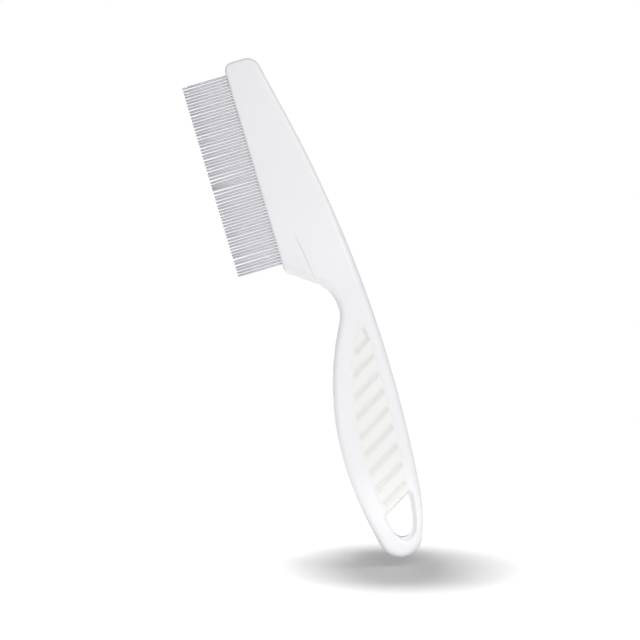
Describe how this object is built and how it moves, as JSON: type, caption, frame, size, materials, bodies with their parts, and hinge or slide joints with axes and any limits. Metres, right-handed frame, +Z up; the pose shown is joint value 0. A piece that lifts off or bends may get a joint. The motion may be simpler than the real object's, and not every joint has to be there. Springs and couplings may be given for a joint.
{
  "type": "flea comb",
  "caption": "Pet grooming comb: flat head with one row of fine steel pins, curved handle with a soft ribbed grip insert and a hang hole.",
  "frame": {"origin": "under the middle of the comb's box, level with the end of the tail; the tail's tip is at Z = 0", "axes": "+Z up the comb from the tail to the head, -X the way the pins point, Y through the thickness; the two faces are alike"},
  "size_m": [0.0414, 0.008, 0.18],
  "materials": {
    "handle_plastic": "white moulded ABS, fine satin",
    "grip_rubber": "warm white soft moulding, matt",
    "bar_plastic": "white moulded plastic",
    "pin_steel": "bright drawn stainless wire"
  },
  "bodies": {
    "root": {"handle_body": "handle_plastic", "grip_insert": "grip_rubber", "pin_bar": "bar_plastic", "pins": "pin_steel"}
  },
  "joints": []
}
